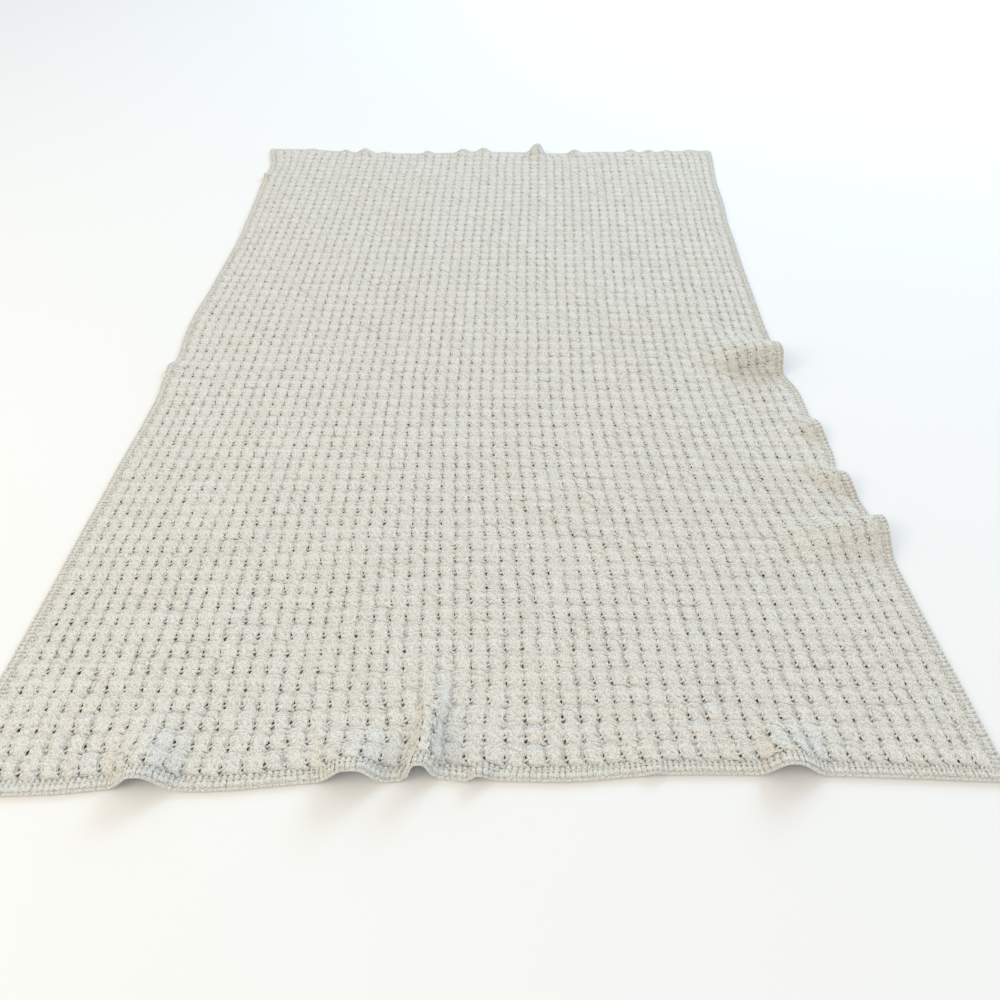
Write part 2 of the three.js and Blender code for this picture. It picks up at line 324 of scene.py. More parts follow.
def handled(across, along):
    """The laid cloth with the slight unevenness of hand work and of lying loose, as slow waves."""
    sway_x = (1.0 * np.sin(along / 93 + 2.1 * np.sin(across / 210))
              + 0.35 * np.sin(along / 23 + across / 61)
              + 0.5 * np.sin(across / 67 - along / 131))
    sway_y = (1.0 * np.sin(across / 88 + 1.7 * np.sin(along / 170))
              + 0.6 * np.sin(across / 19 - along / 71)
              + 0.5 * np.sin(along / 61 + across / 97))
    inside = (eased((THROW_WIDTH / 2 - np.abs(across)) / EVEN_RIM)
              * eased((THROW_LENGTH / 2 - np.abs(along)) / EVEN_RIM))
    x, y, z = laid(across + sway_x * inside, along + sway_y * inside)
    puff = ((0.5 + 0.5 * np.sin(across / 33 + 1.3 * np.sin(along / 57)))
            * (0.5 + 0.5 * np.sin(along / 39 - across / 120)))
    return x, y, z + PUFF_HEIGHT * puff * inside


# The laid cloth is kept as a grid of points, which reaches a little past the rim
CLOTH_MARGIN = 20
CLOTH_STEP = 5
PROBE = 2
cloth_across = THROW_WIDTH + 2 * CLOTH_MARGIN
cloth_along = THROW_LENGTH + 2 * CLOTH_MARGIN
columns = round(cloth_across / CLOTH_STEP) + 1
rows = round(cloth_along / CLOTH_STEP) + 1
flat_x, flat_y = np.meshgrid(np.linspace(-cloth_across / 2, cloth_across / 2, columns),
                             np.linspace(-cloth_along / 2, cloth_along / 2, rows))
flat_x, flat_y = flat_x.ravel(), flat_y.ravel()


def grid_points(shift_x, shift_y):
    """The laid cloth at the points of the grid, all of them read a little to one side."""
    return np.stack(handled(flat_x + shift_x, flat_y + shift_y), axis=1)


points = grid_points(0, 0)
to_right = grid_points(PROBE, 0) - grid_points(-PROBE, 0)
to_far = grid_points(0, PROBE) - grid_points(0, -PROBE)
upward = np.cross(to_right, to_far)
upward /= np.linalg.norm(upward, axis=1)[:, None]
corner = (np.arange(rows - 1)[:, None] * columns + np.arange(columns - 1)[None, :]).ravel()
squares = np.stack([corner, corner + 1, corner + columns + 1, corner + columns], axis=1)


def mesh_from(name, spots, faces):
    """A mesh in metres from points in millimetres and faces of four corners."""
    mesh = bpy.data.meshes.new(name)
    mesh.vertices.add(len(spots))
    mesh.vertices.foreach_set("co", (np.asarray(spots, float) * MM).ravel())
    mesh.loops.add(4 * len(faces))
    mesh.loops.foreach_set("vertex_index", np.asarray(faces).ravel())
    mesh.polygons.add(len(faces))
    mesh.polygons.foreach_set("loop_start", np.arange(0, 4 * len(faces), 4))
    mesh.update(calc_edges=True)
    mesh.validate()
    return mesh


def note(mesh, name, kind, field, values):
    """Keep a value for each point of a mesh."""
    mesh.attributes.new(name, kind, "POINT").data.foreach_set(field, np.asarray(values, float).ravel())


laid_mesh = mesh_from("laid_cloth", points, squares)
note(laid_mesh, "flat", "FLOAT_VECTOR", "vector",
     np.stack([flat_x / cloth_across + 0.5, flat_y / cloth_along + 0.5, 0 * flat_x], axis=1))
note(laid_mesh, "upward", "FLOAT_VECTOR", "vector", upward)
laid_cloth = bpy.data.objects.new("laid_cloth", laid_mesh)
scene.collection.objects.link(laid_cloth)


def new_tree(name, sizes):
    """An empty geometry node tree with named size inputs, and its input and output nodes."""
    tree = bpy.data.node_groups.new(name, "GeometryNodeTree")
    tree.interface.new_socket("Geometry", in_out="INPUT", socket_type="NodeSocketGeometry")
    for label, kind in sizes:
        tree.interface.new_socket(label, in_out="INPUT", socket_type="NodeSocket" + kind)
    tree.interface.new_socket("Geometry", in_out="OUTPUT", socket_type="NodeSocketGeometry")
    return tree, tree.nodes.new("NodeGroupInput"), tree.nodes.new("NodeGroupOutput")


def math_node(tree, operation, first, second):
    """One sum on two sockets or numbers."""
    node = tree.nodes.new("ShaderNodeMath")
    node.operation = operation
    for socket, value in zip(node.inputs, (first, second)):
        if isinstance(value, (int, float)):
            socket.default_value = value
        else:
            tree.links.new(value, socket)
    return node.outputs[0]


def end_tree(tree, given, result, geometry):
    """End a tree: every instance made real, and the yarn put on."""
    whole = tree.nodes.new("GeometryNodeRealizeInstances")
    tree.links.new(geometry, whole.inputs["Geometry"])
    yarned = tree.nodes.new("GeometryNodeSetMaterial")
    tree.links.new(whole.outputs["Geometry"], yarned.inputs["Geometry"])
    tree.links.new(given.outputs["Yarn"], yarned.inputs["Material"])
    tree.links.new(yarned.outputs["Geometry"], result.inputs["Geometry"])


# Tree that lifts flat work onto the laid cloth: x and y find the place, z stands off its face
lay_tree, given, result = new_tree("lay_on_folds", [
    ("Laid Cloth", "Object"), ("Cloth Across", "Float"), ("Cloth Along", "Float"),
    ("Half Thickness", "Float"), ("Yarn", "Material")])
link = lay_tree.links.new
spot = lay_tree.nodes.new("GeometryNodeInputPosition")
split = lay_tree.nodes.new("ShaderNodeSeparateXYZ")
link(spot.outputs["Position"], split.inputs[0])
place = lay_tree.nodes.new("ShaderNodeCombineXYZ")
for axis, size in (("X", "Cloth Across"), ("Y", "Cloth Along")):
    share = math_node(lay_tree, "DIVIDE", split.outputs[axis], given.outputs[size])
    link(math_node(lay_tree, "ADD", share, 0.5), place.inputs[axis])
cloth = lay_tree.nodes.new("GeometryNodeObjectInfo")
link(given.outputs["Laid Cloth"], cloth.inputs["Object"])
kept = {}
for name in ("flat", "upward"):
    keeper = lay_tree.nodes.new("GeometryNodeInputNamedAttribute")
    keeper.data_type = "FLOAT_VECTOR"
    keeper.inputs["Name"].default_value = name
    kept[name] = keeper.outputs["Attribute"]
cloth_spot = lay_tree.nodes.new("GeometryNodeInputPosition")
found = []
for value in (cloth_spot.outputs["Position"], kept["upward"]):
    reader = lay_tree.nodes.new("GeometryNodeSampleUVSurface")
    reader.data_type = "FLOAT_VECTOR"
    link(cloth.outputs["Geometry"], reader.inputs["Mesh"])
    link(value, reader.inputs["Value"])
    link(kept["flat"], reader.inputs["UV Map"])
    link(place.outputs["Vector"], reader.inputs["Sample UV"])
    found.append(reader.outputs["Value"])
stand_off = lay_tree.nodes.new("ShaderNodeVectorMath")
stand_off.operation = "SCALE"
link(found[1], stand_off.inputs["Vector"])
over_middle = math_node(lay_tree, "SUBTRACT", split.outputs["Z"], given.outputs["Half Thickness"])
link(over_middle, stand_off.inputs["Scale"])
lifted = lay_tree.nodes.new("ShaderNodeVectorMath")
lifted.operation = "ADD"
link(found[0], lifted.inputs[0])
link(stand_off.outputs["Vector"], lifted.inputs[1])
settle = lay_tree.nodes.new("GeometryNodeSetPosition")
link(given.outputs["Geometry"], settle.inputs["Geometry"])
link(lifted.outputs["Vector"], settle.inputs["Position"])
end_tree(lay_tree, given, result, settle.outputs["Geometry"])


def add_tree(piece, tree, values):
    """Put a tree on a piece as a modifier, its inputs set by their identifiers."""
    modifier = piece.modifiers.new(tree.name, "NODES")
    modifier.node_group = tree
    for socket in tree.interface.items_tree:
        if socket.in_out == "INPUT" and socket.name in values:
            modifier[socket.identifier] = values[socket.name]


def finished(piece, name, smooth):
    """The worked piece as a plain mesh of its own, with the trees gone."""
    depsgraph = bpy.context.evaluated_depsgraph_get()
    mesh = bpy.data.meshes.new_from_object(piece.evaluated_get(depsgraph), depsgraph=depsgraph)
    mesh.name = name
    for old in [a.name for a in mesh.attributes if a.name in ("flat", "upward")]:
        mesh.attributes.remove(mesh.attributes[old])
    mesh.polygons.foreach_set("use_smooth", [smooth] * len(mesh.polygons))
    bpy.data.objects.remove(piece)
    made = bpy.data.objects.new(name, mesh)
    scene.collection.objects.link(made)
    return made


# ---------------------------------------------------------------------------------------
# Ground of the panel: the closed backs of the stitches, which hold the shells together.
# It is worked in the same cream yarn as everything else, with a real gap that slants up
# beside each shell and that a strand of the shell crosses.
SHELL_COLUMNS = 55
SHELL_ROWS = 69
PANEL_WIDTH = THROW_WIDTH - 2 * EDGING_WIDTH
PANEL_LENGTH = THROW_LENGTH - 2 * EDGING_WIDTH
SHELL_WIDTH = PANEL_WIDTH / SHELL_COLUMNS
SHELL_HEIGHT = PANEL_LENGTH / SHELL_ROWS
GROUND_UNDER = 0.5

# Lines across one row of shells, in shares of a shell. On each: the gap strip's left side and
# right side (across, up), its height in mm and the light painted into its colour, then the middle of
# the shell (across), its height and its painted light. The gap opens between the first three lines.
GAP_OPEN_BANDS = (1, 2)
GAP_LINES = [
    (-0.01, 0.14, 0.08, 0.20, 4.5, 0.9, 0.56, 3.2, 0.8),
    (-0.01, 0.34, 0.18, 0.39, 4.4, 1.0, 0.60, 4.2, 1.0),
    (-0.04, 0.59, 0.05, 0.60, 5.2, 1.0, 0.56, 4.4, 1.0),
    (-0.05, 0.86, 0.08, 0.84, 5.4, 1.0, 0.50, 4.4, 1.0),
]
PANEL_END = (-0.05, 0, 0.08, 0, 4.2, 1.0, 0.50, 4.2, 1.0)
PANEL_SIDE_HEIGHT = 4.2

# A new gap starts below this share of a row. How open gaps are: on average and how much it
# varies, its limits, and what they lose from left to right and from near to far
GAP_START = 0.2
OPENNESS = (0.90, 0.28)
OPENNESS_LIMITS = (0.25, 1.6)
LOST_ACROSS = 0.22
LOST_ALONG = 0.40

# On the sharp crest of the first fold the stitches are squeezed and their gaps nearly shut:
# x of the crest, half the width and the rows of the squeezed patch, and the openness left
SQUEEZED_AT = -64
SQUEEZED_HALF = 34
SQUEEZED_ROWS = 6
SQUEEZED_OPENNESS = 0.15

CREAM = (0.880, 0.862, 0.800, 1)
CREAM_WARM = (0.870, 0.835, 0.755, 1)
CREAM_PALE = (0.915, 0.897, 0.838, 1)
# painted shade in the ply grooves and round the knots, also the colour of the darker tufts
CREAM_SHADE = (0.650, 0.636, 0.592, 1)
# painted highlight on the raised tops of the yarn's knots
CREAM_KNOT_HIGHLIGHT = (0.965, 0.952, 0.905, 1)
# near-black painted shade for yarn deep between the stitches and under the ground
CREAM_PAINTED_SHADE = (0.040, 0.036, 0.030, 1)

# The yarn is four strands plied together, with 3.6 mm from one strand's turn to the next.
# A diagonal band repeats once every unit at this scale.
PLIES = 4
PLY_LENGTH = 3.6
ONE_BAND_A_UNIT = math.pi / 5


def yarn_material(name):
    """Soft matt cream yarn: plied strands with a slight fuzz, with painted shade deep between the
    stitches and in its grooves, and painted highlights on its knots.
    """
    paint = bpy.data.materials.new(name)
    paint.use_nodes = True
    nodes, join = paint.node_tree.nodes, paint.node_tree.links.new
    shader = nodes["Principled BSDF"]
    shader.inputs["Roughness"].default_value = 0.92
    shader.inputs["Specular IOR Level"].default_value = 0.18
    shader.inputs["Sheen Weight"].default_value = 0.25
    shader.inputs["Sheen Roughness"].default_value = 0.5
    where = nodes.new("ShaderNodeTexCoord")

    def noise(scale, detail):
        node = nodes.new("ShaderNodeTexNoise")
        node.inputs["Scale"].default_value = scale
        node.inputs["Detail"].default_value = detail
        join(where.outputs["Object"], node.inputs["Vector"])
        return node.outputs["Fac"]

    def ramp(source, low, high, low_value=0.0, high_value=1.0):
        node = nodes.new("ShaderNodeMapRange")
        node.inputs["From Min"].default_value = low
        node.inputs["From Max"].default_value = high
        node.inputs["To Min"].default_value = low_value
        node.inputs["To Max"].default_value = high_value
        join(source, node.inputs["Value"])
        return node.outputs["Result"]

    def mixed(share, first, second):
        node = nodes.new("ShaderNodeMix")
        node.data_type = "RGBA"
        join(share, node.inputs["Factor"])
        for socket, value in zip((node.inputs[6], node.inputs[7]), (first, second)):
            if isinstance(value, tuple):
                socket.default_value = value
            else:
                join(value, socket)
        return node.outputs[2]

    def reading(name):
        node = nodes.new("ShaderNodeAttribute")
        node.attribute_name = name
        return node.outputs["Fac"]

    def figured(operation, first, second):
        return math_node(paint.node_tree, operation, first, second)

    # the turns of the plied strands
    stretch = nodes.new("ShaderNodeMapping")
    stretch.inputs["Scale"].default_value = (1 / PLY_LENGTH, PLIES, 1)
    join(where.outputs["UV"], stretch.inputs["Vector"])
    ply = nodes.new("ShaderNodeTexWave")
    ply.bands_direction = "DIAGONAL"
    ply.inputs["Scale"].default_value = ONE_BAND_A_UNIT
    ply.inputs["Distortion"].default_value = 0.8
    ply.inputs["Detail"].default_value = 1.0
    join(stretch.outputs["Vector"], ply.inputs["Vector"])

    # warm patches a hand wide, and each shell a little paler or not
    patches = ramp(noise(5.0, 3.0), 0.38, 0.66)
    colour = mixed(patches, CREAM, CREAM_WARM)
    shell_tone = ramp(reading("tone"), 0.0, 1.0, 0.0, 0.7)
    colour = mixed(shell_tone, colour, CREAM_PALE)

    # painted shade in the yarn's ply grooves and round the edges of its knots, a painted highlight on
    # the knots' tops, and its tufts, darker at random
    ply_groove_shade = ramp(ply.outputs["Fac"], 0.05, 0.5, 0.25, 0.0)
    colour = mixed(ply_groove_shade, colour, CREAM_SHADE)
    knots = nodes.new("ShaderNodeTexVoronoi")
    knots.inputs["Scale"].default_value = 430.0
    join(where.outputs["Object"], knots.inputs["Vector"])
    knot_top_highlight = ramp(knots.outputs["Distance"], 0.20, 0.42, 0.9, 0.0)
    colour = mixed(knot_top_highlight, colour, CREAM_KNOT_HIGHLIGHT)
    knot_edge_shade = ramp(knots.outputs["Distance"], 0.42, 0.75, 0.0, 0.9)
    colour = mixed(knot_edge_shade, colour, CREAM_SHADE)
    tufts = ramp(noise(330.0, 3.0), 0.46, 0.68, 0.0, 0.4)
    colour = mixed(tufts, colour, CREAM_SHADE)

    # painted shade: the yarn deep between the stitches, where little light reaches, is coloured
    # darker, down to near black
    painted_light_level = figured("POWER", ramp(reading("painted_light_level"), 0.0, 1.0), 1.5)
    colour = mixed(painted_light_level, CREAM_PAINTED_SHADE, colour)
    join(colour, shader.inputs["Base Color"])

    fuzz = noise(1100.0, 2.0)
    turns = figured("MULTIPLY", ply.outputs["Fac"], 0.3)
    height = figured("ADD", turns, figured("MULTIPLY", fuzz, 0.4))
    height = figured("ADD", height, figured("MULTIPLY", knots.outputs["Distance"], -1.3))
    relief = nodes.new("ShaderNodeBump")
    relief.inputs["Strength"].default_value = 0.85
    relief.inputs["Distance"].default_value = 0.0008
    join(height, relief.inputs["Height"])
    join(relief.outputs["Normal"], shader.inputs["Normal"])
    return paint


panel_yarn = yarn_material("panel_yarn")

# Points of the ground, counted in shells and rows: four lines a row plus the two ends of the
# panel, and on each line the two sides of every gap strip and the middle of every shell
chance = np.random.default_rng(3)
ground_x, ground_y, ground_z, ground_light = [], [], [], []
openness = np.ones(SHELL_COLUMNS + 1)
panel_lines = [(0, PANEL_END)]
panel_lines += [(row, line) for row in range(SHELL_ROWS) for line in GAP_LINES]
panel_lines.append((SHELL_ROWS, PANEL_END))
for row, line in panel_lines:
    left_x, left_up, right_x, right_up, gap_z, gap_light, middle_x, middle_z, middle_light = line
    for column in range(SHELL_COLUMNS + 1):
        # gaps are widest at the near left, where the throw is pulled open, and no two are the same
        pull = 1.0 - LOST_ACROSS * column / SHELL_COLUMNS - LOST_ALONG * row / SHELL_ROWS
        if left_up < GAP_START:
            openness[column] = pull * np.clip(chance.normal(*OPENNESS), *OPENNESS_LIMITS)
            off_crest = abs((column / SHELL_COLUMNS - 0.5) * PANEL_WIDTH - SQUEEZED_AT)
            if row < SQUEEZED_ROWS and off_crest < SQUEEZED_HALF:
                openness[column] *= SQUEEZED_OPENNESS
        centre = (left_x + right_x) / 2
        half = (right_x - left_x) / 2 * openness[column]
        if 0 < column < SHELL_COLUMNS:
            ground_x += [column + centre - half, column + centre + half]
            ground_y += [row + left_up, row + right_up]
            ground_z += [gap_z, gap_z]
            ground_light += [gap_light, gap_light]
        else:
            ground_x.append(column)
            ground_y.append(row + left_up)
            ground_z.append(PANEL_SIDE_HEIGHT)
            ground_light.append(1.0)
        if column < SHELL_COLUMNS:
            ground_x.append(column + middle_x)
            ground_y.append(row + left_up)
            ground_z.append(middle_z)
            ground_light.append(middle_light)
per_line = 3 * SHELL_COLUMNS
n_lines = len(ground_x) // per_line
ground_x = np.array(ground_x) * SHELL_WIDTH - PANEL_WIDTH / 2
ground_y = np.array(ground_y) * SHELL_HEIGHT - PANEL_LENGTH / 2
over = np.stack([ground_x, ground_y, np.array(ground_z)], axis=1)
under = np.stack([ground_x, ground_y, np.full_like(ground_x, GROUND_UNDER)], axis=1)
n_over = len(over)
solid = np.ones((n_lines - 1, per_line - 1), bool)
gap_strips = 2 + 3 * np.arange(SHELL_COLUMNS - 1)
for row in range(SHELL_ROWS):
    for band in GAP_OPEN_BANDS:
        solid[band + len(GAP_LINES) * row, gap_strips] = False


def open_sheet(solid, per_line, n_over):
    """Faces of a closed two-sided sheet on a grid, with walls wherever it is open."""
    faces = []
    tall, wide = solid.shape
    framed = np.pad(solid, 1)
    for j in range(tall):
        for i in range(wide):
            if not solid[j, i]:
                continue
            a, b = j * per_line + i, j * per_line + i + 1
            c, d = b + per_line, a + per_line
            faces.append((a, b, c, d))
            faces.append((d + n_over, c + n_over, b + n_over, a + n_over))
            for neighbour, p, q in ((framed[j, i + 1], a, b), (framed[j + 1, i + 2], b, c),
                                    (framed[j + 2, i + 1], c, d), (framed[j + 1, i], d, a)):
                if not neighbour:
                    faces.append((q, p, p + n_over, q + n_over))
    return faces


ground_faces = open_sheet(solid, per_line, n_over)
ground_mesh = mesh_from("panel_ground", np.concatenate([over, under]), ground_faces)
# painted shade: the ground's top takes the light listed on its lines and its underside is coloured
# near black, so its walls grow dark towards the floor
note(ground_mesh, "painted_light_level", "FLOAT", "value", np.concatenate([ground_light, np.zeros(n_over)]))
note(ground_mesh, "tone", "FLOAT", "value", np.zeros(2 * n_over))


def flat_map_of(mesh):
    """UV map in millimetres of the flat throw, for marks that follow the cloth."""
    corners = np.empty(len(mesh.loops), int)
    mesh.loops.foreach_get("vertex_index", corners)
    spots = np.empty(3 * len(mesh.vertices))
    mesh.vertices.foreach_get("co", spots)
    uv = mesh.uv_layers.new(name="UVMap")
    uv.data.foreach_set("uv", (spots.reshape(-1, 3)[corners, :2] / MM).ravel())


flat_map_of(ground_mesh)
ground_flat = bpy.data.objects.new("panel_ground_flat", ground_mesh)
scene.collection.objects.link(ground_flat)
lay_values = {
    "Laid Cloth": laid_cloth, "Cloth Across": cloth_across * MM, "Cloth Along": cloth_along * MM,
    "Half Thickness": CLOTH_THICKNESS / 2 * MM, "Yarn": panel_yarn}
add_tree(ground_flat, lay_tree, lay_values)
panel_ground = finished(ground_flat, "panel_ground", False)
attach(panel_ground, "root")
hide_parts("panel")

# ---------------------------------------------------------------------------------------
# Shells: each is a fan of tall stitches drawn up from one point, with a slanting strand across
# its foot and a chain over its top. The looped yarn lies about 5 mm wide and 3 mm thick.
# The shell is made in eight versions, and rows of them are worked across the panel.

# Strands of a shell: share across, share up, height off the floor in mm,
# then half the yarn's width and half its thickness in mm
SHELL_STRANDS = {
    "backing": [(0.56, 0.09, 4.5, 8.8, 0.9), (0.56, 0.42, 4.8, 9.4, 1.0),
                (0.50, 0.76, 5.0, 11.6, 1.0), (0.50, 1.06, 4.9, 11.6, 0.9)],
    "right shoulder": [(0.36, 1.00, 4.9, 2.4, 1.2), (0.64, 0.97, 5.3, 3.0, 1.4),
                       (0.93, 0.80, 5.2, 3.0, 1.4), (0.95, 0.52, 4.6, 2.2, 1.2)],
    "middle": [(0.42, 0.90, 5.0, 2.4, 1.2), (0.56, 0.68, 5.4, 2.9, 1.4), (0.74, 0.46, 4.8, 2.2, 1.2)],
    "left": [(0.26, 0.98, 4.8, 2.4, 1.2), (0.07, 0.77, 5.2, 3.0, 1.4), (0.30, 0.50, 4.8, 2.2, 1.2)],
    "foot": [(0.12, 0.58, 4.4, 2.0, 1.2), (0.38, 0.48, 5.1, 2.8, 1.4),
             (0.70, 0.31, 5.2, 2.8, 1.4), (1.08, 0.06, 5.2, 2.6, 1.3)],
    "crown": [(-0.09, 0.93, 5.3, 2.6, 1.3), (0.30, 1.11, 5.0, 2.8, 1.5),
              (0.66, 1.11, 5.0, 2.8, 1.5), (1.07, 0.93, 5.3, 2.6, 1.3)],
    "bridge": [(-0.08, 0.33, 4.6, 1.8, 1.2), (0.24, 0.50, 4.9, 2.0, 1.3)],
}
SHELL_KINDS = 8
STRAND_SIDES = 4

# Spread of the shells' versions: the shift of a strand and the wobble of its points in shares
# of a shell, its height in mm and its girth as a share
STRAND_SHIFT = 0.018
STRAND_WOBBLE = 0.020
STRAND_LIFT = 0.25
STRAND_GIRTH = 0.07

# Heights in mm off the floor over which the painted shade on a strand fades out, as a start and a
# span: yarn lower down is coloured darker
PAINTED_SHADE_UNDER = 1.5
PAINTED_SHADE_SPAN = 2.5


def strand(spots, half_width, half_thickness):
    """One closed length of yarn through points, with its length and girth as UV."""
    run = np.gradient(spots, axis=0)
    run /= np.linalg.norm(run, axis=1)[:, None]
    side = np.cross(run, (0, 0, 1))
    side /= np.linalg.norm(side, axis=1)[:, None]
    top = np.cross(side, run)
    turns = np.arange(STRAND_SIDES) / STRAND_SIDES * 2 * math.pi
    sideways = np.sin(turns)[None, :, None] * (half_width[:, None] * side)[:, None, :]
    upwards = np.cos(turns)[None, :, None] * (half_thickness[:, None] * top)[:, None, :]
    ring = (spots[:, None, :] + sideways + upwards).reshape(-1, 3)
    along = np.concatenate([[0], np.cumsum(np.linalg.norm(np.diff(spots, axis=0), axis=1))])
    faces, uv = [], []
    for i in range(len(spots) - 1):
        for k in range(STRAND_SIDES):
            a, b = i * STRAND_SIDES + k, i * STRAND_SIDES + (k + 1) % STRAND_SIDES
            faces.append((a, b, b + STRAND_SIDES, a + STRAND_SIDES))
            for up, round_by in ((0, 0), (0, 1), (1, 1), (1, 0)):
                uv.append((along[i + up], (k + round_by) / STRAND_SIDES))
    near_end = range(STRAND_SIDES)
    far_end = range(len(ring) - STRAND_SIDES, len(ring))
    faces += [tuple(reversed(near_end)), tuple(far_end)]
    return ring, faces, uv + [(0, 0)] * (2 * STRAND_SIDES)


def stitch_object(name, strands, keep_in):
    """Join strands into one small stitch, with how deep each point lies between the stitches as its
    painted shade.
    """
    spots, faces, uvs = [], [], []
    for table in strands:
        ring, ring_faces, uv = strand(table[:, :3], table[:, 3], table[:, 4])
        first = sum(len(s) for s in spots)
        faces += [tuple(first + v for v in face) for face in ring_faces]
        spots.append(ring)
        uvs += uv
    spots = np.concatenate(spots)
    mesh = mesh_from(name, spots, faces)
    # painted shade: yarn low between the stitches is coloured darker, by its height off the floor
    note(mesh, "painted_light_level", "FLOAT", "value", np.clip((spots[:, 2] - PAINTED_SHADE_UNDER) / PAINTED_SHADE_SPAN, 0, 1))
    # the two flanks of a strand are its sharp edges
    ends = np.empty(2 * len(mesh.edges), int)
    mesh.edges.foreach_get("vertices", ends)
    side_of = ends.reshape(-1, 2) % STRAND_SIDES
    on_flank = (side_of[:, 0] == side_of[:, 1]) & (side_of[:, 0] % 2 == 1)
    mesh.attributes.new("sharp_edge", "BOOLEAN", "EDGE").data.foreach_set("value", on_flank)
    mesh.uv_layers.new(name="UVMap").data.foreach_set("uv", np.array(uvs, float).ravel())
    made = bpy.data.objects.new(name, mesh)
    keep_in.objects.link(made)
    return made


chance = np.random.default_rng(7)
shell_kinds = bpy.data.collections.new("shell_kinds")
scene.collection.children.link(shell_kinds)
for kind in range(SHELL_KINDS):
    strands = []
    for table in SHELL_STRANDS.values():
        table = np.array(table)
        shift = chance.normal(0, STRAND_SHIFT, 2)
        wobble = chance.normal(0, STRAND_WOBBLE, (len(table), 2))
        across = (table[:, 0] - 0.5 + shift[0] + wobble[:, 0]) * SHELL_WIDTH
        up = (table[:, 1] - 0.5 + shift[1] + wobble[:, 1]) * SHELL_HEIGHT
        height = table[:, 2] + chance.normal(0, STRAND_LIFT)
        girth = table[:, 3:] * chance.normal(1, STRAND_GIRTH)
        strands.append(np.column_stack([across, up, height, girth]))
    stitch_object(f"shell_kind_{kind + 1}", strands, shell_kinds)


def random_node(tree, kind, low, high, seed_socket, offset):
    """A random field between two values, its seed counted on from the tree's own."""
    node = tree.nodes.new("FunctionNodeRandomValue")
    node.data_type = kind
    first = {"FLOAT": 2, "INT": 4}[kind]
    for socket, value in ((node.inputs[first], low), (node.inputs[first + 1], high)):
        if isinstance(value, (int, float)):
            socket.default_value = value
        else:
            tree.links.new(value, socket)
    tree.links.new(math_node(tree, "ADD", seed_socket, float(offset)), node.inputs["Seed"])
    return node.outputs[{"FLOAT": 1, "INT": 2}[kind]]


def put_stitches(tree, given, points, last_kind, rotation, offset):
    """A stitch of any kind at every point, in a size and with a tone of its own."""
    seed = given.outputs["Seed"]
    kinds = tree.nodes.new("GeometryNodeCollectionInfo")
    kinds.inputs["Separate Children"].default_value = True
    kinds.inputs["Reset Children"].default_value = True
    tree.links.new(given.outputs["Kinds"], kinds.inputs["Collection"])
    smallest = math_node(tree, "SUBTRACT", 1.0, given.outputs["Size Spread"])
    largest = math_node(tree, "ADD", 1.0, given.outputs["Size Spread"])
    put = tree.nodes.new("GeometryNodeInstanceOnPoints")
    put.inputs["Pick Instance"].default_value = True
    tree.links.new(points, put.inputs["Points"])
    tree.links.new(kinds.outputs["Instances"], put.inputs["Instance"])
    tree.links.new(random_node(tree, "INT", 0, last_kind, seed, offset), put.inputs["Instance Index"])
    tree.links.new(rotation, put.inputs["Rotation"])
    size = random_node(tree, "FLOAT", smallest, largest, seed, offset + 1)
    tree.links.new(size, put.inputs["Scale"])
    tone = tree.nodes.new("GeometryNodeStoreNamedAttribute")
    tone.data_type = "FLOAT"
    tone.domain = "INSTANCE"
    tone.inputs["Name"].default_value = "tone"
    tree.links.new(put.outputs["Instances"], tone.inputs["Geometry"])
    tree.links.new(random_node(tree, "FLOAT", 0.0, 1.0, seed, offset + 2), tone.inputs["Value"])
    return tone.outputs["Geometry"]


# Tree that works a band of rows: a shell at every point of a grid, slightly turned and tipped
row_tree, given, result = new_tree("rows_of_shells", [
    ("Shells In A Row", "Int"), ("Rows", "Int"), ("Shell Width", "Float"), ("Shell Height", "Float"),
    ("First Row Middle", "Float"), ("Kinds", "Collection"), ("Seed", "Int"),
    ("Turn", "Float"), ("Size Spread", "Float"), ("Yarn", "Material")])
link = row_tree.links.new
grid = row_tree.nodes.new("GeometryNodeMeshGrid")
link(given.outputs["Shells In A Row"], grid.inputs["Vertices X"])
link(given.outputs["Rows"], grid.inputs["Vertices Y"])
steps_across = math_node(row_tree, "SUBTRACT", given.outputs["Shells In A Row"], 1.0)
row_width = math_node(row_tree, "MULTIPLY", given.outputs["Shell Width"], steps_across)
link(row_width, grid.inputs["Size X"])
steps_along = math_node(row_tree, "SUBTRACT", given.outputs["Rows"], 1.0)
band_length = math_node(row_tree, "MULTIPLY", given.outputs["Shell Height"], steps_along)
link(band_length, grid.inputs["Size Y"])
move = row_tree.nodes.new("GeometryNodeTransform")
link(grid.outputs["Mesh"], move.inputs["Geometry"])
band_middle = row_tree.nodes.new("ShaderNodeCombineXYZ")
half_band = math_node(row_tree, "MULTIPLY", band_length, 0.5)
link(math_node(row_tree, "ADD", given.outputs["First Row Middle"], half_band), band_middle.inputs["Y"])
link(band_middle.outputs["Vector"], move.inputs["Translation"])
most = given.outputs["Turn"]
least = math_node(row_tree, "MULTIPLY", most, -1.0)
turned = row_tree.nodes.new("ShaderNodeCombineXYZ")
link(random_node(row_tree, "FLOAT", least, most, given.outputs["Seed"], 1), turned.inputs["Z"])
link(random_node(row_tree, "FLOAT", least, most, given.outputs["Seed"], 2), turned.inputs["Y"])
turn = row_tree.nodes.new("FunctionNodeEulerToRotation")
link(turned.outputs["Vector"], turn.inputs["Euler"])
shells = put_stitches(row_tree, given, move.outputs["Geometry"], SHELL_KINDS - 1,
                      turn.outputs["Rotation"], 3)
end_tree(row_tree, given, result, shells)

